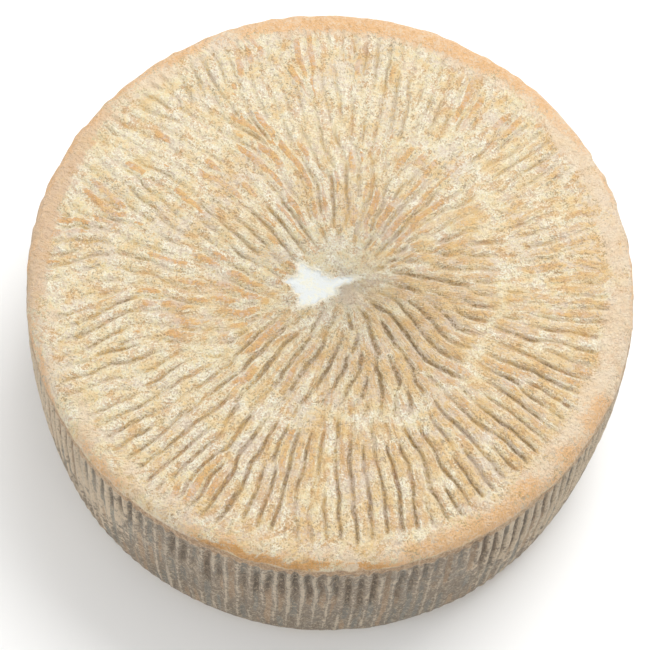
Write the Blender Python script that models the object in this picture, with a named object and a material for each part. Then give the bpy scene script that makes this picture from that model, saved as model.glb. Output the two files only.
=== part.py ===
"""A wheel of hard cheese with a natural rind, in one solid: pleated faces, a ribbed side and one bare patch.

Metres, +Z up. The origin is the middle of the base, on the surface that the wheel lies on.
"""

from math import pi, radians, tau

import bmesh
import bpy
import numpy as np

# The wheel
RADIUS = 0.1490
HEIGHT = 0.1200
BULGE = 0.0020  # how far the side stands out at half height
TOP_ROUND = 0.0090  # radius of the upper edge
BASE_ROUND = 0.0120  # radius of the lower edge
DOME = 0.0012  # how much higher the middle of the top lies than its edge
OUT_OF_ROUND = 0.0006  # how far the outline strays from a circle
SAG = 0.0008  # how far the top face rises and falls in broad swells
EDGE_NICKS = 0.0006  # and the upper edge in small ones

# Pleats of the two faces, left by the cloth that the curd was pressed in
INNER_PITCH = 0.0073  # from one ridge to the next inside the ring where the cloth was folded
OUTER_PITCH = 0.0066  # and outside it
INNER_LEAN = 0.42  # slope by which the pleats lean to either side inside that ring
OUTER_LEAN = 0.06  # and outside it
INNER_DOUBLINGS = 4  # each doubling makes the pleats straighter and longer
OUTER_DOUBLINGS = 5
LEAN_PATCHES = 0.036  # width of the patches that lean the same way
PLEAT_DEPTH = 0.0017
PLEAT_CREST = 0.0004  # how far a ridge rounds up between its grooves
PLEAT_CENTRE = (0.0082, -0.0073)  # where the pleats of the top meet
PLEAT_START = 0.0120  # the gathered middle is smooth
PLEAT_WANDER = 0.0014
PLEAT_BUNCHING = 0.06  # pleats are that share closer together towards BUNCHED_TOWARDS
BUNCHED_TOWARDS = radians(140)
PLEAT_FADING = 0.28  # and that share shallower there
PLEAT_MARGIN = 0.0105  # width of the smooth band inside the edge
MARGIN_SHIFT = 0.0020  # how much narrower it is towards NARROW_TOWARDS, and wider on the far side
NARROW_TOWARDS = radians(190)
MARGIN_WANDER = 0.0030
FOLD_RADIUS = 0.0790  # radius of the ring where the fold broke the pleats
FOLD_SHIFT = 0.0090  # how much farther out it lies towards FOLD_FAR, and nearer on the far side
FOLD_FAR = radians(115)
FOLD_WIDTH = 0.0026
FOLD_TOWARDS = radians(-15)  # the side where the fold is clearest; it runs out over the edge on the far side
BASE_PLEAT_DEPTH = 0.0007  # the wheel's weight has pressed the pleats of the base flatter

# Ribs of the side, left by the hoop
RIB_COUNT = 152
RIB_DEPTH = 0.0018
RIB_TOP = 0.0125  # the hollows begin this far under the top
RIB_DEEP_END = 0.0500  # and are deep down to here
RIB_END_WANDER = 0.0140
RIB_WANDER = 0.0008
SHALLOWEST = 0.50  # share of RIB_DEPTH that the shallowest hollows keep

# The patch in the top where the rind has come away: a round middle and arms
PATCH_CENTRE = (-0.0090, -0.0085)
PATCH_RADIUS = 0.0085
PATCH_DEPTH = 0.0010
PATCH_ARMS = (  # which way each points, its length beyond the middle and its angular width
    (radians(18), 0.0135, radians(9)),
    (radians(-12), 0.0040, radians(13)),
    (radians(122), 0.0045, radians(20)),
    (radians(174), 0.0055, radians(11)),
    (radians(250), 0.0030, radians(20)),
)

# Grids
TABLE_STEPS = 1536  # samples round a pleat table
TABLE_STEP = 0.001  # radius between its rows
TABLE_START = 0.004
SMOOTHING_ROUNDS = 16
BAND_WIDTH = 0.22  # how far the pitch may stray, as a share of it
SHARPENING = 1.4  # how strongly each round turns the noise into ridges and grooves
TURN_STEPS = 5 * RIB_COUNT
FACE_RINGS = 72
SIDE_ROWS = 30
ROUND_STEPS = 5
TRIANGLES = 11400  # of the finished solid


def ease(low, high, value):
    """0 below low, 1 above high, and smooth in between; low may be the larger."""
    share = np.clip((value - low) / (high - low), 0, 1)
    return share * share * (3 - 2 * share)


def swell(x, y, size, seed, cells=64):
    """Smooth noise from -1 to 1, with lumps about size across; it repeats after that many cells."""
    grid = np.random.default_rng(seed).uniform(-1, 1, (cells, cells))
    u, v = x / size + cells / 2, y / size + cells / 2
    i, j = np.floor(u).astype(int), np.floor(v).astype(int)
    a, b = ease(0, 1, u - i), ease(0, 1, v - j)

    def at(m, n):
        return grid[m % cells, n % cells]

    near = (1 - a) * at(i, j) + a * at(i + 1, j)
    far = (1 - a) * at(i, j + 1) + a * at(i + 1, j + 1)
    return (1 - b) * near + b * far


def side_swell(angle, z, size, seed, stretch=1):
    """The same noise wrapped once round the side, its lumps drawn out upwards by stretch."""
    cells = round(tau * RADIUS / size)
    return swell(angle / tau * cells * size, z / stretch, size, seed, cells)


def towards(angle, direction):
    """1 facing the direction, 0 at right angles to it, -1 behind."""
    return np.cos(angle - direction)


def bends(x, y, seed):
    """How far each place of a face strays in one direction, in large, middling and small swells."""
    bend = swell(x, y, 0.030, seed) + 0.5 * swell(x, y, 0.010, seed + 1)
    return bend + 0.35 * swell(x, y, 0.005, seed + 8)


def pleat_table(pitch, doublings, lean, seed):
    """Rows of pleats round rings of growing radius, from -1 in a groove to 1 on a ridge.

    Noise is held to one pitch round each ring, smoothed from ring to ring along leaning lines, and brought back
    to one height, many times over. It settles into ridges that run outwards, meet where their lines lean
    together, and fork where the growing ring has room for one more.
    """
    radii = np.arange(TABLE_START, RADIUS + 0.016, TABLE_STEP)[:, None]
    turns = np.arange(TABLE_STEPS) * tau / TABLE_STEPS
    waves = np.arange(TABLE_STEPS // 2 + 1)
    wanted = tau * radii / pitch
    band = np.exp(-(((waves - wanted) / (BAND_WIDTH * wanted + 1.5)) ** 2))
    broad = np.exp(-((waves / (0.35 * wanted)) ** 2))
    patches = swell(radii * np.cos(turns), radii * np.sin(turns), LEAN_PATCHES, seed + 20)
    shift = lean * np.clip(2 * patches, -1, 1) * TABLE_STEP / radii * TABLE_STEPS / tau
    row, column = np.indices((len(radii), TABLE_STEPS))

    def rings_off(rows, steps):
        there = column + steps * shift
        first = np.floor(there).astype(int)
        share = there - first
        ring = np.clip(row + steps, 0, len(radii) - 1)
        before, after = rows[ring, first % TABLE_STEPS], rows[ring, (first + 1) % TABLE_STEPS]
        return (1 - share) * before + share * after

    def held(rows, kept):
        return np.fft.irfft(np.fft.rfft(rows, axis=1) * kept, TABLE_STEPS, axis=1)

    def levelled(rows):
        return rows / np.sqrt(2 * np.maximum(held(rows**2, broad), 1e-6))

    rows = np.random.default_rng(seed).normal(size=row.shape)
    for _ in range(SMOOTHING_ROUNDS):
        for steps in 2 ** np.arange(doublings):
            rows = 0.5 * rows + 0.25 * (rings_off(rows, steps) + rings_off(rows, -steps))
        rows = np.tanh(SHARPENING * levelled(held(rows, band)))
    return np.clip(levelled(held(rows, band)), -1, 1)


def read_table(rows, radius, angle):
    """The table's value at each radius and angle, from its four nearest samples."""
    i = np.clip((radius - TABLE_START) / TABLE_STEP, 0, len(rows) - 1.001)
    j = angle / tau * TABLE_STEPS
    i0, j0 = np.floor(i).astype(int), np.floor(j).astype(int)
    a, b = i - i0, j - j0
    j1 = (j0 + 1) % TABLE_STEPS
    j0 = j0 % TABLE_STEPS
    inner = (1 - b) * rows[i0, j0] + b * rows[i0, j1]
    outer = (1 - b) * rows[i0 + 1, j0] + b * rows[i0 + 1, j1]
    return (1 - a) * inner + a * outer


def pleats(x, y, centre, seed):
    """Height of a pleated face over its ridges: 0 or a little more on a ridge, -1 in the deepest groove."""
    dx = x - centre[0] + PLEAT_WANDER * bends(x, y, seed + 1)
    dy = y - centre[1] + PLEAT_WANDER * bends(x, y, seed + 3)
    radius, angle = np.hypot(dx, dy), np.arctan2(dy, dx)
    bunched = angle + PLEAT_BUNCHING * np.sin(angle - BUNCHED_TOWARDS)

    facing = towards(angle, FOLD_TOWARDS)
    ring = FOLD_RADIUS + FOLD_SHIFT * towards(angle, FOLD_FAR) + RADIUS * ease(-0.7, -1, facing)
    ring += 0.006 * swell(np.cos(angle), np.sin(angle), 0.30, seed + 7) + 0.005 * swell(x, y, 0.009, seed + 8)
    inner = read_table(pleat_table(INNER_PITCH, INNER_DOUBLINGS, INNER_LEAN, seed), radius, bunched)
    outer = read_table(pleat_table(OUTER_PITCH, OUTER_DOUBLINGS, OUTER_LEAN, seed + 50), radius, bunched)
    past = ease(-0.001, 0.001, radius - ring)
    wave = inner * (1 - past) + outer * past
    height = PLEAT_CREST / PLEAT_DEPTH * ease(-0.2, 1, wave) - ease(-0.1, -0.95, wave)

    fold = np.exp(-(((radius - ring) / FOLD_WIDTH) ** 2))
    fold *= ease(-0.6, 0.9, facing + 0.7 * swell(x, y, 0.011, seed + 12))
    faint = PLEAT_FADING * ease(-0.3, 0.9, towards(angle, BUNCHED_TOWARDS))
    uneven = 1.0 + 0.26 * swell(x, y, 0.024, seed + 5) + 0.32 * swell(x, y, 0.009, seed + 9) - faint
    gathered = PLEAT_START * (1 + 0.8 * ease(-0.2, 0.9, towards(angle, BUNCHED_TOWARDS)))
    start = ease(0.7 * gathered, 1.5 * gathered, radius)
    ends = PLEAT_MARGIN - MARGIN_SHIFT * towards(angle, NARROW_TOWARDS)
    ends += MARGIN_WANDER * swell(x, y, 0.012, seed + 6)
    margin = ease(RADIUS - ends, RADIUS - ends - 0.004, np.hypot(x, y))
    return height * np.clip(uneven, 0, 1.15) * (1 - 0.9 * fold) * start * margin


def bare_patch(x, y):
    """How deep the torn patch lies, from 0 outside it to 1 inside."""
    dx, dy = x - PATCH_CENTRE[0], y - PATCH_CENTRE[1]
    angle = np.arctan2(dy, dx)
    reach = PATCH_RADIUS + 0.0008 * np.cos(9 * angle)
    for direction, length, width in PATCH_ARMS:
        aside = (angle - direction + pi) % tau - pi
        reach = reach + length * np.exp(-((aside / width) ** 2))
    return ease(1.08, 0.88, np.hypot(dx, dy) / reach)


def ribs(angle, z):
    """Depth of the hollows between the ribs of the side, from 0 on a rib to 1."""
    wander = side_swell(angle, z, 0.022, 41) + 0.5 * side_swell(angle, z, 0.008, 42)
    hollow = ease(0.65, -0.45, np.cos(RIB_COUNT * (angle + RIB_WANDER / RADIUS * wander)))
    depth_noise = side_swell(angle, z, 0.0065, 43, stretch=6) + 0.5 * side_swell(angle, z, 0.020, 44)
    own_depth = SHALLOWEST + (1 - SHALLOWEST) * ease(-0.5, 0.5, depth_noise)
    below = HEIGHT - z + 0.003 * side_swell(angle, 0 * z, 0.006, 45)
    upper = ease(RIB_TOP - 0.002, RIB_TOP + 0.005, below)
    deep_end = RIB_DEEP_END + RIB_END_WANDER * side_swell(angle, 0 * z, 0.010, 46)
    lower = SHALLOWEST + (1 - SHALLOWEST) * ease(deep_end + 0.008, deep_end - 0.008, below)
    foot = ease(BASE_ROUND - 0.006, BASE_ROUND + 0.004, z)
    return hollow * own_depth * upper * lower * foot


def arc(centre_r, centre_z, radius, start, stop):
    """Points of a quarter round in the profile, from one angle above the horizontal to another."""
    turns = np.linspace(start, stop, ROUND_STEPS + 1)
    return [(centre_r + radius * np.cos(t), centre_z + radius * np.sin(t)) for t in turns]


def profile():
    """Half the wheel's section, from the middle of the top round the outside to the middle of the base."""
    face_r = RADIUS - TOP_ROUND
    top = [(r, HEIGHT - DOME * (r / face_r) ** 2) for r in np.linspace(0, face_r, FACE_RINGS, endpoint=False)]
    side_top, side_base = HEIGHT - DOME - TOP_ROUND, BASE_ROUND
    edge = arc(face_r, side_top, TOP_ROUND, pi / 2, 0)
    drops = np.linspace(0, 1, SIDE_ROWS + 1)[1:-1]
    side = [(RADIUS + 4 * BULGE * t * (1 - t), side_top + (side_base - side_top) * t) for t in drops]
    foot = arc(RADIUS - BASE_ROUND, side_base, BASE_ROUND, 0, -pi / 2)
    base = [(r, 0.0) for r in np.linspace(RADIUS - BASE_ROUND, 0, FACE_RINGS + 1)[1:]]
    return top + edge + side + foot + base


def turned_body():
    """The plain wheel: the profile spun once round the axis and closed at both middles."""
    shape = bmesh.new()
    points = [shape.verts.new((r, 0, z)) for r, z in profile()]
    lines = [shape.edges.new(pair) for pair in zip(points, points[1:])]
    bmesh.ops.spin(
        shape,
        geom=points + lines,
        axis=(0, 0, 1),
        cent=(0, 0, 0),
        angle=tau,
        steps=TURN_STEPS,
        use_merge=True,
    )
    bmesh.ops.remove_doubles(shape, verts=shape.verts, dist=1e-6)
    bmesh.ops.recalc_face_normals(shape, faces=shape.faces)
    mesh = bpy.data.meshes.new("cheese_wheel")
    shape.to_mesh(mesh)
    shape.free()
    return mesh


def carve(points):
    """Gives the plain wheel's points their relief and returns them."""
    x, y, z = points.T
    out, angle = np.hypot(x, y), np.arctan2(y, x)
    unit_x, unit_y = np.cos(angle), np.sin(angle)

    on_top = (z > HEIGHT / 2) * ease(RADIUS, RADIUS - TOP_ROUND, out)
    on_base = (z < HEIGHT / 2) * ease(RADIUS - BASE_ROUND, RADIUS - BASE_ROUND - 0.004, out)
    on_side = ease(RADIUS - 0.004, RADIUS - 0.001, out)
    on_edge = ease(0.010, 0.002, np.abs(HEIGHT - 0.004 - z))

    torn = bare_patch(x, y)
    top = PLEAT_DEPTH * pleats(x, y, PLEAT_CENTRE, 7) * (1 - torn) - PATCH_DEPTH * torn
    top += SAG * (swell(x, y, 0.070, 21) + 0.4 * swell(x, y, 0.025, 22))
    base = BASE_PLEAT_DEPTH * np.minimum(pleats(x, y, (0, 0), 71), 0)
    side = EDGE_NICKS * on_edge * side_swell(angle, z, 0.005, 33) - RIB_DEPTH * ribs(angle, z)
    stray = OUT_OF_ROUND * (swell(unit_x, unit_y, 0.9, 31) + 0.5 * swell(unit_x, unit_y, 0.14, 32))

    grow = side * on_side + stray * out / RADIUS
    return np.stack([x + grow * unit_x, y + grow * unit_y, z + top * on_top - base * on_base], axis=1)


def settle(points):
    """Centres the outline's box on the axis and stands the wheel on the ground."""
    low, high = points.min(axis=0), points.max(axis=0)
    middle = (low + high) / 2
    return points - (middle[0], middle[1], low[2])


def rind_material():
    """Dry natural rind: straw to ochre, and matt."""
    material = bpy.data.materials.new("rind")
    material.use_nodes = True
    shader = material.node_tree.nodes["Principled BSDF"]
    shader.inputs["Base Color"].default_value = (0.66, 0.50, 0.27, 1)
    shader.inputs["Roughness"].default_value = 0.75
    shader.inputs["Metallic"].default_value = 0
    return material


def make_wheel():
    """Turns the wheel, carves it, and thins its triangles where it is plain."""
    mesh = turned_body()
    points = np.empty(3 * len(mesh.vertices), np.float32)
    mesh.vertices.foreach_get("co", points)
    relief = settle(carve(points.reshape(-1, 3).astype(float)))
    mesh.vertices.foreach_set("co", relief.astype(np.float32).ravel())
    mesh.materials.append(rind_material())
    mesh.shade_smooth()

    wheel = bpy.data.objects.new("cheese_wheel", mesh)
    bpy.context.collection.objects.link(wheel)
    thin = wheel.modifiers.new("fewer_triangles", "DECIMATE")
    full = sum(len(face.vertices) - 2 for face in mesh.polygons)
    thin.ratio = TRIANGLES / full
    thin.use_collapse_triangulate = True


for old in list(bpy.data.objects):
    bpy.data.objects.remove(old)
make_wheel()
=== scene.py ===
"""A wheel of hard cheese with its natural rind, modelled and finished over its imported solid.

The file is laid out as an add-on: sizes and colours are properties, each piece has an operator, and the
sidebar lists them. Metres, +Z up; the origin is the middle of the base. Run as a script, it makes the scene.
"""

from math import cos, pi, radians, tau

import bmesh
import bpy
import numpy as np
from bpy.props import FloatProperty, FloatVectorProperty, IntProperty, PointerProperty
from mathutils import Matrix, Vector


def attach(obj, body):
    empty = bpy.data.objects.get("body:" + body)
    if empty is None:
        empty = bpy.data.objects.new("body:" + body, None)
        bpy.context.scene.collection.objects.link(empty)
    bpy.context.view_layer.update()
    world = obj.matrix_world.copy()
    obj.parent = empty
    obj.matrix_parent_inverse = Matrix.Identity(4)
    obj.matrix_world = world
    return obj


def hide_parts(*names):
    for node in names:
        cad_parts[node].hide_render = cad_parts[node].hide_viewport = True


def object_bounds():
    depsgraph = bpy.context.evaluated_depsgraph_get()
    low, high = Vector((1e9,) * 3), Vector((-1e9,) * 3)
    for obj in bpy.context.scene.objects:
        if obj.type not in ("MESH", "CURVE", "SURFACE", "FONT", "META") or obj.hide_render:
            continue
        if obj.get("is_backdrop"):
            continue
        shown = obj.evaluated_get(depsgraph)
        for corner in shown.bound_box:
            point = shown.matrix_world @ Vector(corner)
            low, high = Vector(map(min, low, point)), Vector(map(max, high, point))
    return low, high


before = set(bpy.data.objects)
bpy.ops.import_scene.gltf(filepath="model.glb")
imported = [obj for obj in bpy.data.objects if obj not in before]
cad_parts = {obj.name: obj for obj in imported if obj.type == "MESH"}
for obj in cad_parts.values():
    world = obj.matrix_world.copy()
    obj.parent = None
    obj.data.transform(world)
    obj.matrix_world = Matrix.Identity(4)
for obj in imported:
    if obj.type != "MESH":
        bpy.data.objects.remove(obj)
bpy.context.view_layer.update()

bl_info = {
    "name": "Cheese wheel",
    "version": (1, 0, 0),
    "blender": (4, 5, 0),
    "location": "View3D > Sidebar > Cheese",
    "description": "Makes a whole cheese wheel with a pleated and ribbed natural rind, and a stage for it",
    "category": "Object",
}

# Which body and solid the wheel belongs to
BODY = "root"
SOLID = "cheese_wheel"

# The grid of the wheel's surface: it is spun in coarse steps, and its rings are halved where they grow wide
SPIN_STEPS = 256
HALVED_AT = (0.036, 0.072)
TOP_RINGS = ((0.036, 16), (0.072, 20), (0.140, 42))  # out to each radius, so many rings
BASE_RINGS = ((0.036, 8), (0.137, 25))
EDGE_STEPS = 4
SIDE_ROWS = 15
FOOT_STEPS = 3

# The tables that the pleats are read from
TABLE_STEPS = 1536
TABLE_STEP = 0.001
TABLE_START = 0.004
SMOOTHING_ROUNDS = 16
INNER_DOUBLINGS = 4
OUTER_DOUBLINGS = 5
BAND_WIDTH = 0.22  # share of the pitch by which a ring's pleats may differ from it
SHARPENING = 1.4
LEAN_PATCHES = 0.036

# The flow of the rind, which its streaks follow: outwards on the faces and down the side
FLOW_RADIUS = 0.085
FLOW_STRETCH = 4

# The arms of the torn patch: which way each points, its length beyond the middle and its angular width
PATCH_ARMS = (
    (radians(18), 0.0135, radians(9)),
    (radians(-12), 0.0040, radians(13)),
    (radians(122), 0.0045, radians(20)),
    (radians(174), 0.0055, radians(11)),
    (radians(250), 0.0030, radians(20)),
)


def linear(code):
    """An sRGB hex colour as the linear red, green, blue and alpha that Blender's shaders take."""
    parts = [int(code[i:i + 2], 16) / 255 for i in (1, 3, 5)]
    return [c / 12.92 if c <= 0.04045 else ((c + 0.055) / 1.055) ** 2.4 for c in parts] + [1.0]


def length(name, description, default):
    """A size in metres, for a property group."""
    return FloatProperty(name=name, description=description, default=default, unit="LENGTH", precision=5)


def number(name, description, default):
    """A plain number, for a property group."""
    return FloatProperty(name=name, description=description, default=default)


def degrees(name, description, default):
    """An angle, for a property group."""
    return FloatProperty(name=name, description=description, default=radians(default), subtype="ANGLE")


def watts(name, description, default):
    """A light's power, for a property group."""
    return FloatProperty(name=name, description=description, default=default, unit="POWER")


def point(name, description, default):
    """A place on the top or base, for a property group."""
    return FloatVectorProperty(name=name, description=description, default=default, size=2, unit="LENGTH")


def colour(name, description, code):
    """A colour, for a property group."""
    return FloatVectorProperty(
        name=name, description=description, default=linear(code), size=4, subtype="COLOR"
    )


class WheelSizes(bpy.types.PropertyGroup):
    """The wheel before its relief."""

    radius: length("Radius", "Half the wheel's width, without its bulge", 0.1490)
    height: length("Height", "From the base to the middle of the top", 0.1200)
    bulge: length("Bulge", "How far the side stands out at half height", 0.0020)
    top_round: length("Upper edge", "Radius of the upper edge", 0.0090)
    base_round: length("Lower edge", "Radius of the lower edge", 0.0120)
    dome: length("Dome", "How much higher the middle of the top lies than its edge", 0.0012)
    out_of_round: length("Out of round", "How far the outline strays from a circle", 0.0006)
    sag: length("Sag", "How far the top rises and falls in broad swells", 0.0008)
    nicks: length("Nicks", "How far the upper edge strays in small ones", 0.0006)
    grain: length("Grain", "Height of the small lumps all over the rind", 0.00016)


class ClothMarks(bpy.types.PropertyGroup):
    """Pleats that the press cloth left in both faces."""

    pitch: length("Inner pitch", "From one ridge to the next inside the fold", 0.0073)
    outer_pitch: length("Outer pitch", "From one ridge to the next outside the fold", 0.0066)
    lean: number("Lean", "Slope by which pleats inside the fold lean to either side", 0.42)
    outer_lean: number("Outer lean", "The same slope outside the fold", 0.06)
    depth: length("Depth", "Depth of the deepest grooves of the top", 0.0017)
    crest: length("Crest", "How far a ridge rounds up between its grooves", 0.0005)
    centre: point("Centre", "Where the pleats of the top meet", (0.0082, -0.0073))
    start: length("Start", "Radius of the smooth middle where the cloth was gathered", 0.0120)
    wander: length("Wander", "How far the pleats stray sideways", 0.0014)
    bunching: number("Bunching", "Share by which the pleats lie closer on one side", 0.06)
    bunched: degrees("Bunched towards", "The side where the pleats lie closest", 140)
    clearest: degrees("Clearest towards", "The side where the pleats are deepest", -75)
    fading: number("Fading", "Share by which they are shallower elsewhere", 0.46)
    margin: length("Margin", "Width of the smooth band inside the edge", 0.0105)
    margin_shift: length("Margin shift", "How much narrower the band is on its narrow side", 0.0020)
    fold_radius: length("Fold", "Radius of the ring where a fold in the cloth broke the pleats", 0.0790)
    fold_shift: length("Fold shift", "How much farther out that ring lies at the back", 0.0090)
    fold_width: length("Fold width", "Half the width of that ring", 0.0034)
    fold_towards: degrees("Fold towards", "The side where the fold is clearest", -15)
    base_depth: length("Depth on the base", "Depth of the pleats that the weight pressed flatter", 0.0007)


class HoopMarks(bpy.types.PropertyGroup):
    """Ribs that the hoop left round the side."""

    count: IntProperty(name="Ribs", description="How many ribs go round the side", default=152)
    depth: length("Depth", "Depth of the deepest hollows", 0.0018)
    top: length("Top", "How far under the top the hollows begin", 0.0125)
    deep_end: length("Deep end", "How far under the top they turn shallow", 0.0500)
    end_wander: length("End wander", "How far those ends stray", 0.0140)
    wander: length("Wander", "How far the ribs stray sideways", 0.0008)
    shallowest: number("Shallowest", "Share of the depth that every hollow has", 0.50)


class PatchSizes(bpy.types.PropertyGroup):
    """The place in the top where the rind has come away."""

    centre: point("Centre", "Middle of the patch", (-0.0090, -0.0085))
    radius: length("Radius", "Radius of its round middle", 0.0085)
    depth: length("Depth", "How deep it lies", 0.0010)


class RindColours(bpy.types.PropertyGroup):
    """Colours of the rind, from its dry bloom to the wax of its edge."""

    bloom: colour("Bloom", "Dry bloom on the faces", "#E9DFBF")
    bloom_pale: colour("Pale bloom", "The whitest grains of the bloom", "#F9F5E3")
    bloom_straw: colour("Straw bloom", "The yellower grains of the bloom", "#EAD79C")
    bare: colour("Bare rind", "Ridges rubbed bare of bloom", "#DDBC90")
    bare_gold: colour("Golden rind", "Ridges rubbed bare where the rind is yellowest", "#E2C088")
    bare_pale: colour("Pale rind", "Paler streaks on the rubbed ridges", "#E8D4B1")
    bare_dark: colour("Dark rind", "Darker ochre spots on the rubbed ridges", "#C69C6C")
    ochre: colour("Ochre ovals", "Bare ovals on the dusty ridges", "#DAA76C")
    tan: colour("Tan ovals", "The pinker of those ovals", "#D6B08A")
    speck: colour("Specks", "Grey-green specks in the bloom", "#A38D69")
    # groove and groove_deep: grey-green dust in the grooves, and also painted shade that darkens them with
    # depth
    groove: colour("Groove", "Grey-green dust in the grooves", "#C2AC88")
    groove_deep: colour("Deep groove", "The darkest grains in the grooves", "#94784F")
    rust: colour("Rust", "Grooves stained rusty", "#A57A4E")
    rosy: colour("Rosy dust", "Pinkish grey dust in broad patches", "#DFCCB8")
    straw: colour("Straw dust", "Yellow bloom in broad patches", "#EBD2A0")
    gold: colour("Golden dust", "Golden bloom in small patches", "#E3BE7C")
    edge: colour("Edge", "Smooth band inside the edge", "#E8D0B2")
    amber: colour("Amber", "Soft amber of the edge", "#E5B277")
    wax: colour("Wax", "Waxy spots on the upper edge", "#CC9346")
    side: colour("Side", "Dust in the hollows of the side", "#A08F7B")
    side_cool: colour("Cool side", "Blue-grey mould dust on the side", "#84847B")
    # rib lightens the crests of the ribs, partly as a painted highlight; side_dark_and_shade and slot darken
    # their hollows as painted shade over dust, and side_dark_and_shade also gives random dark streaks and
    # grains
    rib_and_highlight: colour("Rib", "Crests of the ribs", "#CBBBA3")
    side_dark_and_shade: colour("Dark side", "Hollows of the side", "#7C6C57")
    # side_pale_and_lit: light grains of the side, and painted light on its flanks away from the front
    side_pale_and_lit: colour("Pale side", "Light dust on the flanks of the side", "#DDC8AA")
    slot: colour("Slot", "The deepest parts of the hollows", "#604F3C")
    side_tan: colour("Tan hollow", "Hollows filled with bare rind", "#B29270")
    shoulder: colour("Shoulder", "Warm skin just under the upper edge", "#BC9468")
    paste: colour("Paste", "White paste bared in the torn patch", "#CFD2D0")
    paste_cream: colour("Creamy paste", "Creamier spots of that paste", "#DAD5BC")


class StageSizes(bpy.types.PropertyGroup):
    """Camera, lights and floor."""

    distance: length("Camera distance", "From the camera to the middle of the wheel", 1.10)
    elevation: degrees("Camera elevation", "Height of the camera's view", 66.48)
    roll: degrees("Camera roll", "Turn of the picture", 5.49)
    focal: number("Focal length", "Focal length in millimetres", 119.07)
    aside: length("Camera aside", "How far the camera stands aside", -0.00110)
    above: length("Camera above", "How far its aim lies above the middle", -0.00219)
    floor: length("Floor", "Width of the floor", 12.0)
    floor_gap: length("Floor gap", "How far the floor lies under the base, clear of its face", 0.0002)
    key_power: watts("Key light", "Power of the large light above", 24.0)
    fill_power: watts("Fill light", "Power of the light in front", 5.0)
    sky: number("Surroundings", "Strength of the even white light", 0.74)
    floor_colour: colour("Floor colour", "Pale matt floor", "#F7F7F6")


def ease(low, high, value):
    """0 below low, 1 above high, and smooth in between; low may be the larger."""
    share = np.clip((value - low) / (high - low), 0, 1)
    return share * share * (3 - 2 * share)


def bell(middle, width, value):
    """1 at the middle, falling smoothly to nothing about two widths away."""
    return np.exp(-(((value - middle) / width) ** 2))


def towards(angle, direction):
    """1 facing the direction, 0 at right angles to it, -1 behind."""
    return np.cos(angle - direction)


def aside(angle, direction):
    """How far an angle lies from a direction, from -pi to pi."""
    return (angle - direction + pi) % tau - pi


def swell(x, y, size, seed, cells=64):
    """Smooth noise from -1 to 1, with lumps about size across; it repeats after that many cells."""
    grid = np.random.default_rng(seed).uniform(-1, 1, (cells, cells))
    u, v = x / size + cells / 2, y / size + cells / 2
    i, j = np.floor(u).astype(int), np.floor(v).astype(int)
    a, b = ease(0, 1, u - i), ease(0, 1, v - j)

    def at(m, n):
        return grid[m % cells, n % cells]

    near = (1 - a) * at(i, j) + a * at(i + 1, j)
    far = (1 - a) * at(i, j + 1) + a * at(i + 1, j + 1)
    return (1 - b) * near + b * far


def side_swell(wheel, angle, z, size, seed, stretch=1):
    """The same noise wrapped once round the side, its lumps drawn out upwards by stretch."""
    cells = round(tau * wheel.radius / size)
    return swell(angle / tau * cells * size, z / stretch, size, seed, cells)


def pleat_table(wheel, pitch, doublings, lean, seed):
    """Rows of pleats round rings of growing radius, from -1 in a groove to 1 on a ridge.

    Noise is held to one pitch round each ring, smoothed from ring to ring along leaning lines, and brought
    back to one height, many times over. It settles into ridges that run outwards, meet where their lines
    lean together, and fork where the growing ring has room for one more. Each doubling smooths over twice
    as many rings.
    """
    radii = np.arange(TABLE_START, wheel.radius + 0.016, TABLE_STEP)[:, None]
    turns = np.arange(TABLE_STEPS) * tau / TABLE_STEPS
    waves = np.arange(TABLE_STEPS // 2 + 1)
    wanted = tau * radii / pitch
    band = np.exp(-(((waves - wanted) / (BAND_WIDTH * wanted + 1.5)) ** 2))
    broad = np.exp(-((waves / (0.35 * wanted)) ** 2))
    patches = swell(radii * np.cos(turns), radii * np.sin(turns), LEAN_PATCHES, seed + 20)
    slope = lean * np.clip(2 * patches, -1, 1)
    shift = slope * TABLE_STEP / radii * TABLE_STEPS / tau
    row, column = np.indices((len(radii), TABLE_STEPS))

    def rings_off(rows, steps):
        there = column + steps * shift
        first = np.floor(there).astype(int)
        share = there - first
        ring = np.clip(row + steps, 0, len(radii) - 1)
        return (1 - share) * rows[ring, first % TABLE_STEPS] + share * rows[ring, (first + 1) % TABLE_STEPS]

    def held(rows, kept):
        return np.fft.irfft(np.fft.rfft(rows, axis=1) * kept, TABLE_STEPS, axis=1)

    rows = np.random.default_rng(seed).normal(size=row.shape)
    for _ in range(SMOOTHING_ROUNDS):
        for steps in 2 ** np.arange(doublings):
            rows = 0.5 * rows + 0.25 * (rings_off(rows, steps) + rings_off(rows, -steps))
        rows = held(rows, band)
        rows /= np.sqrt(2 * np.maximum(held(rows**2, broad), 1e-6))
        rows = np.tanh(SHARPENING * rows)
    rows = held(rows, band)
    return np.clip(rows / np.sqrt(2 * np.maximum(held(rows**2, broad), 1e-6)), -1, 1)


def read_table(rows, radius, angle):
    """The table's value at each radius and angle, from its four nearest samples."""
    i = np.clip((radius - TABLE_START) / TABLE_STEP, 0, len(rows) - 1.001)
    j = angle / tau * TABLE_STEPS
    i0, j0 = np.floor(i).astype(int), np.floor(j).astype(int)
    a, b = i - i0, j - j0
    j1 = (j0 + 1) % TABLE_STEPS
    j0 = j0 % TABLE_STEPS
    inner = (1 - b) * rows[i0, j0] + b * rows[i0, j1]
    outer = (1 - b) * rows[i0 + 1, j0] + b * rows[i0 + 1, j1]
    return (1 - a) * inner + a * outer


def bends(x, y, seed, fine_seed):
    """Noise that bends the pleats sideways, in long swings with shorter ones on them."""
    swings = swell(x, y, 0.030, seed) + 0.5 * swell(x, y, 0.010, seed + 1)
    return swings + 0.35 * swell(x, y, 0.005, fine_seed)


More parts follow.
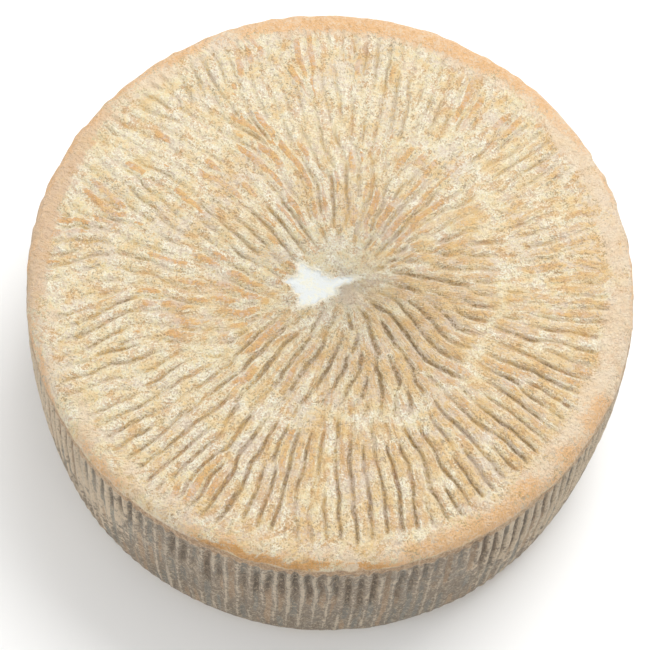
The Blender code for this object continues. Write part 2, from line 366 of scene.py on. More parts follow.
def pleats(wheel, cloth, x, y, centre, seed):
    """The pleats of a face: height, from 0 on a ridge to -1 in the deepest groove, and what colours them."""
    dx = x - centre[0] + cloth.wander * bends(x, y, seed + 1, seed + 10)
    dy = y - centre[1] + cloth.wander * bends(x, y, seed + 3, seed + 11)
    radius, angle = np.hypot(dx, dy), np.arctan2(dy, dx)
    bunched = angle + cloth.bunching * np.sin(angle - cloth.bunched)

    facing = towards(angle, cloth.fold_towards)
    ring = cloth.fold_radius + cloth.fold_shift * towards(angle, radians(115))
    ring += wheel.radius * ease(-0.7, -1, facing)  # out past the edge on the far side, where no fold shows
    ring += 0.006 * swell(np.cos(angle), np.sin(angle), 0.30, seed + 7)
    ring += 0.008 * swell(x, y, 0.010, seed + 8)
    inner_rows = pleat_table(wheel, cloth.pitch, INNER_DOUBLINGS, cloth.lean, seed)
    outer_rows = pleat_table(wheel, cloth.outer_pitch, OUTER_DOUBLINGS, cloth.outer_lean, seed + 50)
    inner = read_table(inner_rows, radius, bunched)
    outer = read_table(outer_rows, radius, bunched)
    past = ease(-0.001, 0.001, radius - ring)
    wave = inner * (1 - past) + outer * past

    fold = bell(ring, cloth.fold_width, radius)
    fold *= ease(-0.6, 0.9, facing + 0.9 * swell(x, y, 0.008, seed + 12))
    faint = cloth.fading * ease(0.95, -0.1, towards(angle, cloth.clearest))
    faint *= 0.50 + 0.50 * ease(0.050, 0.085, radius)
    uneven = 1.0 + 0.26 * swell(x, y, 0.024, seed + 5) + 0.32 * swell(x, y, 0.009, seed + 9) - faint
    gathered = cloth.start * (1 + 0.8 * ease(-0.2, 0.9, towards(angle, cloth.bunched)))
    start = ease(0.7 * gathered, 1.5 * gathered, radius)
    ends = cloth.margin - cloth.margin_shift * towards(angle, radians(190))
    ends += 0.003 * swell(x, y, 0.012, seed + 6)
    margin = ease(wheel.radius - ends, wheel.radius - ends - 0.004, np.hypot(x, y))
    shown = np.clip(uneven, 0, 1.15) * (1 - 0.9 * fold) * start * margin
    groove = ease(-0.38 - 0.17 * past, -0.98, wave)
    height = cloth.crest / cloth.depth * ease(-0.2, 1, wave) - groove
    return {
        "height": height * shown,
        "dip": -wave * shown,
        "flank": bell(-0.05, 0.30, wave) * np.clip(shown, 0, 1),
        "fold": fold,
        "ridge": ease(-0.1, 0.5, wave) * start * margin * (1 - fold),
        "smooth": 1 - start,
        "radius": radius,
        "angle": angle,
    }


def torn_patch(patch, x, y):
    """How far out from the middle of the torn patch each place lies: 1 is its border."""
    dx, dy = x - patch.centre[0], y - patch.centre[1]
    angle = np.arctan2(dy, dx)
    reach = patch.radius + 0.0008 * np.cos(9 * angle)
    for direction, beyond, width in PATCH_ARMS:
        reach = reach + beyond * bell(0, width, aside(angle, direction))
    return np.hypot(dx, dy) / reach


def ribs(wheel, hoop, angle, z):
    """Depth of the hollows between the side's ribs, from 0 to 1, and where crests and hollows lie."""
    wander = side_swell(wheel, angle, z, 0.022, 41) + 0.5 * side_swell(wheel, angle, z, 0.008, 42)
    phase = np.cos(hoop.count * (angle + hoop.wander / wheel.radius * wander))
    hollow = ease(0.55, -0.55, phase)
    depth_noise = side_swell(wheel, angle, z, 0.0065, 43, stretch=6)
    depth_noise += 0.5 * side_swell(wheel, angle, z, 0.020, 44)
    own_depth = hoop.shallowest + (1 - hoop.shallowest) * ease(-0.5, 0.5, depth_noise)
    below = wheel.height - z + 0.003 * side_swell(wheel, angle, 0 * z, 0.006, 45)
    upper = ease(hoop.top - 0.002, hoop.top + 0.005, below)
    deep_end = hoop.deep_end + hoop.end_wander * side_swell(wheel, angle, 0 * z, 0.010, 46)
    lower = hoop.shallowest + (1 - hoop.shallowest) * ease(deep_end + 0.008, deep_end - 0.008, below)
    foot = ease(wheel.base_round - 0.006, wheel.base_round + 0.004, z)
    return {
        "hollow": hollow * own_depth * upper * lower * foot,
        "crest": ease(0.55, 0.95, phase) * upper * foot,
        "column": ease(0.35, -0.45, phase) * upper * foot,
    }


def arc(centre_r, centre_z, radius, start, stop, steps):
    """Points of a quarter round in the profile, from one angle above the horizontal to another."""
    turns = np.linspace(start, stop, steps + 1)
    return [(centre_r + radius * np.cos(t), centre_z + radius * np.sin(t)) for t in turns]


def ring_radii(zones, last):
    """Radii of a face's rings from its middle outwards, in zones of even spacing, up to the last radius."""
    radii, start = [0.0], 0.0
    for stop, count in zones:
        stop = min(stop, last)
        radii += list(np.linspace(start, stop, count + 1)[1:])
        start = stop
    return radii


def profile(wheel):
    """Half the wheel's section, from the middle of the top round the outside to the middle of the base."""
    face_r = wheel.radius - wheel.top_round
    top = [(r, wheel.height - wheel.dome * (r / face_r) ** 2) for r in ring_radii(TOP_RINGS, face_r)][:-1]
    side_top, side_base = wheel.height - wheel.dome - wheel.top_round, wheel.base_round
    edge = arc(face_r, side_top, wheel.top_round, pi / 2, 0, EDGE_STEPS)
    drops = (np.linspace(0, 1, SIDE_ROWS + 1) ** 1.5)[1:-1]
    side = []
    for t in drops:
        out = wheel.radius + 4 * wheel.bulge * t * (1 - t)
        side.append((out, side_top + (side_base - side_top) * t))
    foot_r = wheel.radius - wheel.base_round
    foot = arc(foot_r, side_base, wheel.base_round, 0, -pi / 2, FOOT_STEPS)
    base = [(r, 0.0) for r in reversed(ring_radii(BASE_RINGS, foot_r)[:-1])]
    return top + edge + side + foot + base


def turned_body(wheel):
    """The plain wheel: its profile spun once round, with steps halved on the wider rings."""
    shape = bmesh.new()
    points = [shape.verts.new((r, 0, z)) for r, z in profile(wheel)]
    lines = [shape.edges.new(pair) for pair in zip(points, points[1:])]
    bmesh.ops.spin(
        shape,
        geom=points + lines,
        axis=(0, 0, 1),
        cent=(0, 0, 0),
        angle=tau,
        steps=SPIN_STEPS,
        use_merge=True,
    )
    bmesh.ops.remove_doubles(shape, verts=shape.verts, dist=1e-6)
    steps = SPIN_STEPS
    for limit in HALVED_AT:
        steps *= 2
        wide = []
        for edge in shape.edges:
            a, b = edge.verts
            along_ring = abs(a.co.z - b.co.z) < 1e-4 and abs(a.co.xy.length - b.co.xy.length) < 1e-4
            coarse_base = limit == HALVED_AT[-1] and a.co.z < 0.001
            if along_ring and a.co.xy.length > limit and not coarse_base:
                wide.append(edge)
        known = set(shape.verts)
        bmesh.ops.subdivide_edges(shape, edges=wide, cuts=1, use_grid_fill=True, use_single_edge=True)
        for vert in shape.verts:
            if vert not in known:
                vert.co.xy /= cos(pi * 2 / steps)
    bmesh.ops.recalc_face_normals(shape, faces=shape.faces)
    mesh = bpy.data.meshes.new("cheese_rind")
    shape.to_mesh(mesh)
    shape.free()
    return mesh


def carve(wheel, cloth, hoop, patch, points):
    """Gives the plain wheel's points their relief, and returns them with the marks that colour them."""
    x, y, z = points.T
    out, angle = np.hypot(x, y), np.arctan2(y, x)
    unit_x, unit_y = np.cos(angle), np.sin(angle)
    upper = z > wheel.height / 2
    on_top = upper * ease(wheel.radius, wheel.radius - wheel.top_round, out)
    on_base = ~upper * ease(wheel.radius - wheel.base_round, wheel.radius - wheel.base_round - 0.004, out)
    on_side = ease(wheel.radius - 0.004, wheel.radius - 0.001, out)
    on_edge = ease(0.010, 0.002, np.abs(wheel.height - 0.004 - z))

    from_tear = np.where(upper, torn_patch(patch, x, y), np.inf)
    torn = ease(1.08, 0.88, from_tear)
    cloth_top = pleats(wheel, cloth, x, y, cloth.centre, 7)
    cloth_base = pleats(wheel, cloth, x, y, (0, 0), 71)
    wall = ribs(wheel, hoop, angle, z)
    grain = swell(x, y, 0.0030, 61) + 0.7 * swell(x, y, 0.0017, 62)
    side_grain = side_swell(wheel, angle, z, 0.0030, 63)
    side_grain += 0.8 * side_swell(wheel, angle, z, 0.0060, 64)

    top = cloth.depth * cloth_top["height"] * (1 - torn) - patch.depth * torn
    top += wheel.grain * grain * (1 - torn)
    top += wheel.sag * (swell(x, y, 0.070, 21) + 0.4 * swell(x, y, 0.025, 22))
    base = cloth.base_depth * np.minimum(cloth_base["height"], 0)
    side = wheel.nicks * on_edge * side_swell(wheel, angle, z, 0.005, 33) - hoop.depth * wall["hollow"]
    side += wheel.grain * side_grain
    stray = wheel.out_of_round * (swell(unit_x, unit_y, 0.9, 31) + 0.5 * swell(unit_x, unit_y, 0.14, 32))
    grow = side * on_side + stray * out / wheel.radius
    raised = z + top * on_top - base * on_base
    carved = np.stack([x + grow * unit_x, y + grow * unit_y, raised], axis=1)
    low, high = carved.min(axis=0), carved.max(axis=0)
    middle = (low + high) / 2
    carved -= (middle[0], middle[1], low[2])

    faces = {name: np.where(upper, cloth_top[name], cloth_base[name]) for name in cloth_top}
    return carved, rind_marks(wheel, x, y, z, out, angle, wall, from_tear, faces)


def rind_marks(wheel, x, y, z, out, angle, wall, from_tear, faces):
    """Where each finish of the rind lies, mostly from 0 to 1 at each point."""
    return {
        **face_marks(x, y, out, angle, from_tear, faces),
        **edge_marks(wheel, x, y, z, out, angle, from_tear),
        **side_marks(wheel, z, out, angle, wall),
        "flow": flow_lines(wheel, z, out, angle, faces),
    }


def face_marks(x, y, out, angle, from_tear, faces):
    """Bloom, bare ovals, dust and painted shade on the pleats of the top and base, and the torn patch."""
    along = faces["radius"]
    worn_side = towards(faces["angle"], radians(-35))
    far = ease(0.045, 0.095, along)
    # How strongly the grooves' dark cores show, by direction and radius: dust and painted shade
    grime_and_shade_weight = 0.89 + 0.16 * towards(faces["angle"], radians(-100)) - 0.05 * far
    grime_and_shade_weight -= 0.10 * far * ease(0.3, 0.9, towards(faces["angle"], 0))
    near = ease(0.020, 0.032, along) * ease(0.085, 0.055, along)
    near *= ease(-0.5, 0.6, towards(faces["angle"], radians(-45)))
    grime_and_shade_weight += 0.04 * near
    rubbing = swell(faces["angle"] * FLOW_RADIUS, along / 2.6, 0.0052, 91)
    rubbing += 0.5 * swell(x, y, 0.024, 92) + 0.45 * swell(x, y, 0.008, 93)
    rubbing += 0.12 * bell(0.065, 0.030, along)
    worn = faces["ridge"] * ease(-0.15, 0.40, rubbing + 0.45 * worn_side - 0.05)
    oval = ease(0.0, 0.6, faces["ridge"]) * ease(0.15, 0.75, rubbing)
    oval *= 0.45 + 0.55 * ease(0.6, -0.3, worn_side)
    dusty = 0.50 + 0.20 * swell(x, y, 0.028, 94) + 0.22 * swell(x, y, 0.007, 95) - 0.14 * worn_side
    crown = bell(0, 0.022, np.hypot(x + 0.004, y - 0.014))
    dusty += 0.22 * swell(x, y, 0.0045, 108)
    bloom = dusty + 0.5 * crown + 0.5 * faces["fold"] - 0.70 * worn
    flank = np.maximum(faces["flank"], 0.75 * crown + 0.5 * faces["fold"])
    rust = ease(0.0, 0.7, swell(faces["angle"] * FLOW_RADIUS, along / 4, 0.0060, 101))
    rust *= ease(0.3, 0.7, faces["dip"]) * ease(0.075, 0.120, out)
    rust *= ease(-0.7, 0.1, towards(angle, radians(-30)))
    return {
        # dip: how deep each place lies in a groove; it darkens the grooves as painted shade over their dust
        "dip": faces["dip"] - 0.3 * faces["smooth"],
        "flank": flank,
        # the grooves' dark cores: dust and painted shade, by their depth
        "grime_and_shade": faces["dip"] * grime_and_shade_weight,
        "pebbles": near * (0.22 + 0.20 * np.clip(faces["dip"], 0, 1)) * ease(1.2, 2.0, from_tear),
        "bloom": bloom,
        "oval": oval,
        "rust": rust,
        "torn": ease(1.15, 0.80, from_tear),
        "halo": ease(1.60, 0.80, from_tear),
    }


def edge_marks(wheel, x, y, z, out, angle, from_tear):
    """The smooth band inside the upper edge, the amber that stains it, and the wax outside it."""
    drop = wheel.height - z
    band = ease(wheel.radius - 0.022, wheel.radius - 0.010, out) * ease(0.012, 0.006, drop)
    patches = 0.35 * swell(x, y, 0.012, 102) + 0.25 * swell(x, y, 0.005, 106)
    band *= 0.52 + 0.24 * towards(angle, radians(30)) + patches
    lip = bell(0, 0.0085, np.hypot(x - 0.0080, y + 0.0115)) * ease(0.9, 1.2, from_tear)

    back = bell(0, 0.80, aside(angle, radians(88)))
    front = bell(0, 0.72, aside(angle, radians(-46)))
    left = bell(0, 0.55, aside(angle, radians(170)))
    glow = 1.15 * back + 0.65 * front + 0.25 * left - 0.50
    glow += 0.4 * swell(x, y, 0.034, 103) + 0.3 * swell(x, y, 0.009, 104)
    inward = 0.0050 * back + 0.0020 * front - 0.0040 * left
    amber = ease(wheel.radius - 0.016 - inward, wheel.radius - 0.002 - inward, out)
    amber *= ease(0.011, 0.006, drop) * ease(-0.8, 0.6, glow)

    lumps = 0.6 * side_swell(wheel, angle, z + out, 0.028, 96)
    lumps += 0.3 * side_swell(wheel, angle, z + out, 0.011, 97)
    crest_line = bell(0.0056 + 0.001 * side_swell(wheel, angle, 0 * z, 0.010, 105), 0.0023, drop)
    crest_line *= ease(wheel.radius - 0.010, wheel.radius - 0.003, out)
    amber = np.maximum(amber, 0.8 * crest_line * ease(-0.4, 0.4, lumps))
    waxy = 1.1 * bell(0, 0.55, aside(angle, radians(-105)))
    dry = 0.35 + 0.6 * bell(0, 0.40, aside(angle, radians(203)))
    return {
        "band": np.maximum(band, 0.75 * lip),
        "rim": left * ease(wheel.radius - 0.017, wheel.radius - 0.006, out) * ease(0.011, 0.006, drop),
        "amber": amber,
        "wax": crest_line * ease(0.1, 0.8, lumps + waxy - dry),
    }


def side_marks(wheel, z, out, angle, wall):
    """The dusty wall, its flanks lightened with painted light and its foot darkened with painted shade, and
    what fills the hollows between its ribs.
    """
    drop = wheel.height - z
    side = ease(0.0060, 0.0100, drop + 0.0015 * side_swell(wheel, angle, z, 0.005, 98))
    side *= ease(0.001, 0.006, z) * ease(wheel.radius - 0.010, wheel.radius - 0.004, out)
    filling = side_swell(wheel, angle, z, 0.0062, 99, stretch=6)
    filling += 0.4 * side_swell(wheel, angle, z, 0.030, 109)
    # Painted light: the side lighter on its flanks, away from the front, less so at the back and low down
    lit_flanks = ease(0.98, 0.68, towards(angle, radians(-90)))
    lit_flanks *= 1 - 0.45 * ease(0, 0.7, towards(angle, radians(90)))
    lit_flanks *= 0.45 + 0.55 * ease(0.02, 0.10, z + 0.012 * side_swell(wheel, angle, z, 0.020, 110))
    return {
        "side": side,
        "lit_flanks": lit_flanks,
        # low: painted shade, darker towards the bottom of the side
        "low": 0.75 * ease(0.090, 0.045, z),
        "shoulder": bell(0.010, 0.005, drop) * ease(wheel.radius - 0.006, wheel.radius - 0.001, out),
        # hollow and crest: where the side is painted darker in its hollows and lighter on its crests, as
        # painted shade and highlight
        "hollow": wall["hollow"],
        "crest": wall["crest"] * (0.70 + 0.8 * side_swell(wheel, angle, z, 0.011, 107, stretch=4)),
        "filled": wall["column"] * ease(0.05, 0.40, filling),
        "cool": wall["column"] * ease(-0.05, -0.40, filling),
    }


def flow_lines(wheel, z, out, angle, faces):
    """Coordinates that run outwards on the faces and down the side, for the streaks of the rind."""
    outer = ease(wheel.radius - 0.020, wheel.radius - 0.002, out)
    turn_x = (1 - outer) * np.cos(faces["angle"]) + outer * np.cos(angle)
    turn_y = (1 - outer) * np.sin(faces["angle"]) + outer * np.sin(angle)
    run = (1 - outer) * faces["radius"] + outer * (out + wheel.height - z)
    return np.stack([FLOW_RADIUS * turn_x, FLOW_RADIUS * turn_y, run / FLOW_STRETCH], axis=1)


def add(tree, kind, inputs=None, **settings):
    """Adds a node with its settings; each input is given a value, or the socket that feeds it."""
    made = tree.nodes.new(kind)
    for name, value in settings.items():
        setattr(made, name, value)
    for name, value in (inputs or {}).items():
        if isinstance(value, bpy.types.NodeSocket):
            tree.links.new(value, made.inputs[name])
        else:
            made.inputs[name].default_value = value
    return made


def per_metre(millimetres):
    """Scale of a noise whose lumps are that many millimetres across."""
    return 1000 / millimetres


RIND_MARKS = (
    "dip", "flank", "grime_and_shade", "pebbles", "rim", "bloom", "oval", "band", "amber", "wax",
    "side", "hollow", "crest", "filled", "cool", "lit_flanks", "low", "shoulder", "rust", "halo", "torn"
)


def rind_material(colours):
    """Natural rind of a hard cheese: pressed curd dried to a skin, under dry granular bloom.

    The bloom is matt, whitish and grainy, and darkens in the grooves, partly with grey-brown dust and partly
    with painted shade. Rubbed ridges and the edge show the bare ochre skin, which is smoother and a little
    waxy. The side's hollows and foot carry painted shade, and its crests and flanks painted light.
    """
    material = bpy.data.materials.new("natural_cheese_rind")
    material.use_nodes = True
    tree = material.node_tree
    shader = tree.nodes["Principled BSDF"]
    shader.inputs["Sheen Weight"].default_value = 0.15
    shader.inputs["Sheen Roughness"].default_value = 0.6
    place = add(tree, "ShaderNodeTexCoord").outputs["Object"]
    flow = add(tree, "ShaderNodeAttribute", attribute_name="flow").outputs["Vector"]
    marks = {}
    for name in RIND_MARKS:
        marks[name] = add(tree, "ShaderNodeAttribute", attribute_name=name).outputs["Fac"]
    grains = {
        "grit": (place, 0.9, 3.0),
        "crumb": (place, 2.1, 3.0),
        "mottle": (place, 5.5, 3.0),
        "patchy": (place, 9.0, 4.0),
        "cloud": (place, 26.0, 3.0),
        "fibre": (flow, 1.0, 2.0),
        "streak": (flow, 2.6, 3.0),
    }
    noise = {}
    for name, (coordinates, size, detail) in grains.items():
        inputs = {"Vector": coordinates, "Scale": per_metre(size), "Detail": detail, "Roughness": 0.65}
        narrow = add(tree, "ShaderNodeTexNoise", inputs).outputs["Fac"]
        limits = {"Value": narrow, "From Min": 0.3, "From Max": 0.7}
        noise[name] = add(tree, "ShaderNodeMapRange", limits).outputs["Result"]

    def ragged(spread, broken_by, low, high, most=1.0):
        """A mask that rises from low to high; grains shift its border by up to half their amounts."""
        for name, amount in broken_by.items():
            centred = {0: noise[name], 1: amount, 2: -amount / 2}
            shift = add(tree, "ShaderNodeMath", centred, operation="MULTIPLY_ADD").outputs[0]
            spread = add(tree, "ShaderNodeMath", {0: spread, 1: shift}, operation="ADD").outputs[0]
        limits = {"Value": spread, "From Min": low, "From Max": high, "To Max": most}
        return add(tree, "ShaderNodeMapRange", limits, interpolation_type="SMOOTHSTEP").outputs["Result"]

    def stain(mark, broken_by, most=1.0):
        """A mask that keeps mostly to its mark, from nothing at 0 to full at 1, and is ragged in between."""
        reach = 0.3 * sum(broken_by.values())
        widened = {0: marks[mark], 1: 1 + 2 * reach, 2: -reach}
        spread = add(tree, "ShaderNodeMath", widened, operation="MULTIPLY_ADD").outputs[0]
        return ragged(spread, broken_by, 0.2, 0.8, most)

    def layered(under, *coats):
        """Colours laid one over another, each through its mask."""
        for mask, over in coats:
            under = add(tree, "ShaderNodeMix", {0: mask, 6: under, 7: over}, data_type="RGBA").outputs[2]
        return under

    skin = layered(
        colours.bare,
        (ragged(noise["cloud"], {"mottle": 0.8}, 0.35, 0.75), colours.bare_gold),
        (ragged(noise["mottle"], {"streak": 0.9, "grit": 0.4}, 0.50, 0.90, 0.8), colours.bare_pale),
        (ragged(noise["streak"], {"fibre": 0.8, "grit": 0.4}, 0.35, 0.05, 0.7), colours.bare_dark),
    )
    dust = layered(
        colours.bloom,
        (ragged(noise["mottle"], {"crumb": 0.9}, 0.45, 0.95, 0.7), colours.bloom_straw),
        (ragged(noise["grit"], {"crumb": 0.8}, 0.46, 0.78, 0.95), colours.bloom_pale),
    )
    spots = layered(
        colours.ochre,
        (ragged(noise["mottle"], {"cloud": 1.0, "grit": 0.5}, 0.45, 0.80, 0.8), colours.tan),
        (ragged(noise["streak"], {"grit": 0.8}, 0.30, 0.0, 0.6), colours.bare_dark),
    )
    flesh = layered(
        colours.paste,
        (ragged(noise["mottle"], {"grit": 0.5}, 0.50, 0.90, 0.6), colours.paste_cream),
    )
    spotted_wax = layered(
        colours.wax,
        (ragged(noise["crumb"], {"grit": 1.0}, 0.45, 0.90, 0.7), colours.amber),
        (ragged(noise["crumb"], {"grit": 1.0, "mottle": 0.8}, 0.25, -0.10, 0.6), colours.rust),
    )
    glaze = layered(
        colours.amber,
        (ragged(noise["grit"], {"crumb": 1.0, "mottle": 0.8}, 0.50, 0.95, 0.6), colours.edge),
        (ragged(noise["mottle"], {"crumb": 0.8, "grit": 0.5}, 0.35, 0.0, 0.4), colours.wax),
    )
    # The grooves' colour, laid on by their depth: grey-brown dust and painted shade in the valleys
    valley_dust_and_shade = layered(
        colours.groove,
        (ragged(noise["grit"], {"crumb": 0.8, "fibre": 0.6}, 0.50, 0.85, 0.8), colours.bloom),
        (ragged(noise["crumb"], {"grit": 1.0}, 0.35, 0.05, 0.7), colours.groove_deep),
    )
    # The dark cores of the grooves: dust, with painted shade where they are deepest, and rust
    dirt_and_shade = layered(
        colours.groove_deep,
        (ragged(noise["fibre"], {"grit": 0.8}, 0.62, 0.95, 0.7), colours.groove),
        (ragged(marks["rust"], {"crumb": 0.6, "fibre": 0.4}, 0.20, 0.90, 0.8), colours.rust),
    )
    wall = layered(
        colours.side,
        (ragged(noise["mottle"], {"fibre": 0.9, "grit": 0.4}, 0.50, 1.00, 0.5), colours.rib_and_highlight),
        (ragged(noise["streak"], {"mottle": 0.9, "grit": 0.8}, 0.45, 0.05, 0.6), colours.side_dark_and_shade),
        (ragged(noise["cloud"], {"mottle": 1.0, "grit": 0.4}, 0.50, 0.90, 0.5), colours.side_cool),
        # painted shade towards the bottom of the side
        (stain("low", {"crumb": 0.8, "mottle": 1.2, "streak": 0.8}, 0.5), colours.side_dark_and_shade),
        # painted light on the flanks of the side
        (stain("lit_flanks", {"crumb": 0.8, "streak": 1.4, "mottle": 0.8}, 0.9), colours.side_pale_and_lit),
        (stain("filled", {"crumb": 0.8, "streak": 0.8}, 0.8), colours.side_tan),
        (stain("cool", {"crumb": 0.8, "streak": 0.8}, 0.75), colours.side_cool),
        # painted shade in the hollows of the side, darkest in the slots, over their dust
        (ragged(marks["hollow"], {"crumb": 0.7, "fibre": 0.5}, 0.30, 0.75, 0.6), colours.side_dark_and_shade),
        (ragged(marks["hollow"], {"crumb": 0.8, "grit": 1.0}, 0.60, 0.95, 0.9), colours.slot),
        # crests lighter, partly a painted highlight
        (stain("crest", {"crumb": 0.8, "streak": 0.9, "grit": 0.5}, 0.75), colours.rib_and_highlight),
        (stain("shoulder", {"crumb": 1.4, "mottle": 1.2}, 0.8), colours.shoulder),
        (ragged(noise["grit"], {"crumb": 0.9, "fibre": 0.7}, 0.58, 0.90, 0.55), colours.side_pale_and_lit),
        (ragged(noise["grit"], {"crumb": 0.9, "fibre": 0.7}, 0.36, 0.06, 0.55), colours.side_dark_and_shade),
    )
    rind = layered(
        skin,
        (ragged(marks["bloom"], {"grit": 0.8, "crumb": 0.8, "streak": 0.6}, 0.00, 0.70, 0.95), dust),
        (stain("oval", {"crumb": 1.4, "streak": 1.0, "grit": 1.2}, 0.95), spots),
        (ragged(marks["flank"], {"grit": 1.2, "crumb": 1.0}, 0.55, 1.10, 0.8), colours.bloom_pale),
        # painted shade and dust, darker deeper in the grooves
        (ragged(marks["dip"], {"streak": 0.6, "crumb": 1.0, "grit": 1.0}, 0.45, 1.05, 0.7), valley_dust_and_shade),
        # dark cores of the grooves: dust and painted shade
        (ragged(marks["grime_and_shade"], {"fibre": 0.7, "crumb": 0.7, "grit": 0.9}, 0.63, 0.86, 0.9), dirt_and_shade),
        (ragged(noise["grit"], {"crumb": 0.8, "mottle": 0.6}, 0.36, 0.10, 0.9), colours.speck),
        (ragged(noise["cloud"], {"mottle": 0.5, "grit": 0.6}, 0.60, 0.92, 0.50), colours.rosy),
        (ragged(noise["cloud"], {"mottle": 0.5, "crumb": 0.6}, 0.38, 0.10, 0.45), colours.straw),
        (ragged(noise["patchy"], {"crumb": 0.9, "grit": 0.7}, 0.56, 0.96, 0.65), colours.gold),
        (ragged(noise["patchy"], {"crumb": 0.9, "grit": 0.7}, 0.42, 0.02, 0.65), colours.rosy),
        (ragged(noise["mottle"], {"streak": 0.8, "grit": 0.8}, 0.30, 0.0, 0.45), colours.ochre),
        (stain("pebbles", {"grit": 1.8, "crumb": 1.0}, 0.8), colours.groove_deep),
        (stain("band", {"grit": 1.6, "crumb": 1.4}, 0.7), colours.edge),
        (stain("rim", {"crumb": 1.4, "mottle": 1.2, "grit": 1.0}, 0.7), colours.tan),
        (stain("amber", {"crumb": 1.6, "mottle": 1.4, "grit": 1.6}, 0.85), glaze),
        (stain("wax", {"crumb": 1.6, "mottle": 1.6, "grit": 1.6}, 0.9), spotted_wax),
        (stain("side", {"crumb": 0.3, "streak": 0.3}), wall),
        (stain("halo", {"crumb": 1.2, "grit": 1.6, "mottle": 0.8}, 0.6), colours.bloom_pale),
        (stain("torn", {"crumb": 1.0, "grit": 1.2, "mottle": 0.3}), flesh),
    )
    tree.links.new(rind, shader.inputs["Base Color"])

    smooth = ragged(marks["amber"], {"crumb": 0.5}, 0.2, 1.0)
    rough = add(tree, "ShaderNodeMapRange", {"Value": smooth, "To Min": 0.90, "To Max": 0.60})
    tree.links.new(rough.outputs["Result"], shader.inputs["Roughness"])
    lumps = noise["crumb"]
    for name, amount in (("grit", 0.6), ("fibre", 0.7)):
        summed = {0: noise[name], 1: amount, 2: lumps}
        lumps = add(tree, "ShaderNodeMath", summed, operation="MULTIPLY_ADD").outputs[0]
    strength = add(tree, "ShaderNodeMapRange", {"Value": marks["torn"], "To Min": 0.9, "To Max": 0.35})
    bumps = {"Strength": strength.outputs["Result"], "Distance": 0.0010, "Height": lumps}
    relief = add(tree, "ShaderNodeBump", bumps)
    tree.links.new(relief.outputs["Normal"], shader.inputs["Normal"])
    return material


def plain_material(name, tint, roughness):
    """Matt painted board: even, with no gloss."""
    material = bpy.data.materials.new(name)
    material.use_nodes = True
    shader = material.node_tree.nodes["Principled BSDF"]
    shader.inputs["Base Color"].default_value = tint
    shader.inputs["Roughness"].default_value = roughness
    return material


def place_object(name, data):
    """Links a new object with that data at the origin."""
    made = bpy.data.objects.new(name, data)
    bpy.context.scene.collection.objects.link(made)
    return made


class CHEESE_OT_add_wheel(bpy.types.Operator):
    """Turns the wheel, carves its relief and finishes its rind"""

    bl_idname = "cheese.add_wheel"
    bl_label = "Wheel"

    def execute(self, context):
        scene = context.scene
        mesh = turned_body(scene.cheese_wheel)
        points = np.empty(3 * len(mesh.vertices), np.float32)
        mesh.vertices.foreach_get("co", points)
        carved, marks = carve(
            scene.cheese_wheel,
            scene.cheese_cloth,
            scene.cheese_hoop,
            scene.cheese_patch,
            points.reshape(-1, 3).astype(float),
        )
        mesh.vertices.foreach_set("co", carved.astype(np.float32).ravel())
        for name, values in marks.items():
            kind, key = ("FLOAT", "value") if values.ndim == 1 else ("FLOAT_VECTOR", "vector")
            mark = mesh.attributes.new(name, kind, "POINT")
            mark.data.foreach_set(key, values.astype(np.float32).ravel())
        mesh.materials.append(rind_material(scene.cheese_colours))
        mesh.shade_smooth()
        mesh.update()
        rind = place_object("rind_of_the_wheel", mesh)
        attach(rind, BODY)
        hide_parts(SOLID)
        return {"FINISHED"}


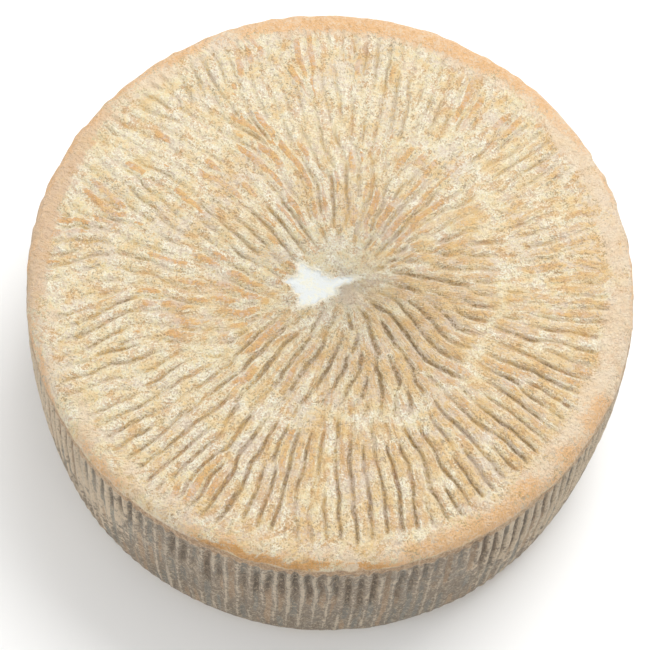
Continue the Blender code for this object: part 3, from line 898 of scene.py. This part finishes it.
class CHEESE_OT_add_stage(bpy.types.Operator):
    """Lays the floor, hangs the lights and sets up the camera"""

    bl_idname = "cheese.add_stage"
    bl_label = "Stage"

    def execute(self, context):
        scene = context.scene
        stage = scene.cheese_stage
        shape = bmesh.new()
        lowered = Matrix.Translation((0, 0, -stage.floor_gap))
        bmesh.ops.create_grid(shape, x_segments=1, y_segments=1, size=stage.floor / 2, matrix=lowered)
        mesh = bpy.data.meshes.new("floor")
        shape.to_mesh(mesh)
        shape.free()
        mesh.materials.append(plain_material("matt_painted_board", stage.floor_colour, 0.9))
        floor = place_object("floor", mesh)
        floor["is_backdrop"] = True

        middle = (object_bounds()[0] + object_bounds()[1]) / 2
        lights = (
            ("key_light", (0.45, 0.75, 1.55), 1.1, stage.key_power),
            ("fill_light", (-1.10, -0.90, 1.10), 0.9, stage.fill_power),
        )
        for name, place, size, energy in lights:
            lamp = bpy.data.lights.new(name, "AREA")
            lamp.size = size
            lamp.energy = energy
            light = place_object(name, lamp)
            light.location = place
            light.rotation_euler = (middle - Vector(place)).to_track_quat("-Z", "Y").to_euler()

        world = bpy.data.worlds.new("white_surroundings")
        world.use_nodes = True
        world.node_tree.nodes["Background"].inputs["Color"].default_value = (1, 1, 1, 1)
        world.node_tree.nodes["Background"].inputs["Strength"].default_value = stage.sky
        scene.world = world
        scene.view_settings.view_transform = "Standard"

        lens = bpy.data.cameras.new("camera")
        lens.lens = stage.focal
        lens.sensor_width = 36
        camera = place_object("camera", lens)
        aim = Vector((0, 0, scene.cheese_wheel.height / 2))
        tilt = Matrix.Rotation(pi / 2 - stage.elevation, 4, "X")
        offset = tilt @ Vector((stage.aside, stage.above, stage.distance))
        rolled = tilt @ Matrix.Rotation(stage.roll, 4, "Z")
        camera.matrix_world = Matrix.Translation(aim + offset) @ rolled
        scene.camera = camera
        return {"FINISHED"}


class CHEESE_PT_panel(bpy.types.Panel):
    """The wheel's pieces and its stage, in the order that they are made"""

    bl_idname = "CHEESE_PT_panel"
    bl_label = "Cheese wheel"
    bl_space_type = "VIEW_3D"
    bl_region_type = "UI"
    bl_category = "Cheese"

    def draw(self, context):
        for operator in OPERATORS:
            self.layout.operator(operator.bl_idname)
        for name in GROUPS:
            box = self.layout.box()
            box.label(text=name.replace("_", " "))
            for key in GROUPS[name].__annotations__:
                box.prop(getattr(context.scene, name), key)


OPERATORS = (CHEESE_OT_add_wheel, CHEESE_OT_add_stage)
GROUPS = {
    "cheese_wheel": WheelSizes,
    "cheese_cloth": ClothMarks,
    "cheese_hoop": HoopMarks,
    "cheese_patch": PatchSizes,
    "cheese_colours": RindColours,
    "cheese_stage": StageSizes,
}


def register():
    for group in GROUPS.values():
        bpy.utils.register_class(group)
    for kind in (*OPERATORS, CHEESE_PT_panel):
        bpy.utils.register_class(kind)
    for name, group in GROUPS.items():
        setattr(bpy.types.Scene, name, PointerProperty(type=group))


def unregister():
    for name in GROUPS:
        delattr(bpy.types.Scene, name)
    for kind in (CHEESE_PT_panel, *reversed(OPERATORS)):
        bpy.utils.unregister_class(kind)
    for group in reversed(GROUPS.values()):
        bpy.utils.unregister_class(group)


def main():
    register()
    bpy.ops.cheese.add_wheel()
    bpy.ops.cheese.add_stage()


if __name__ == "__main__":
    main()
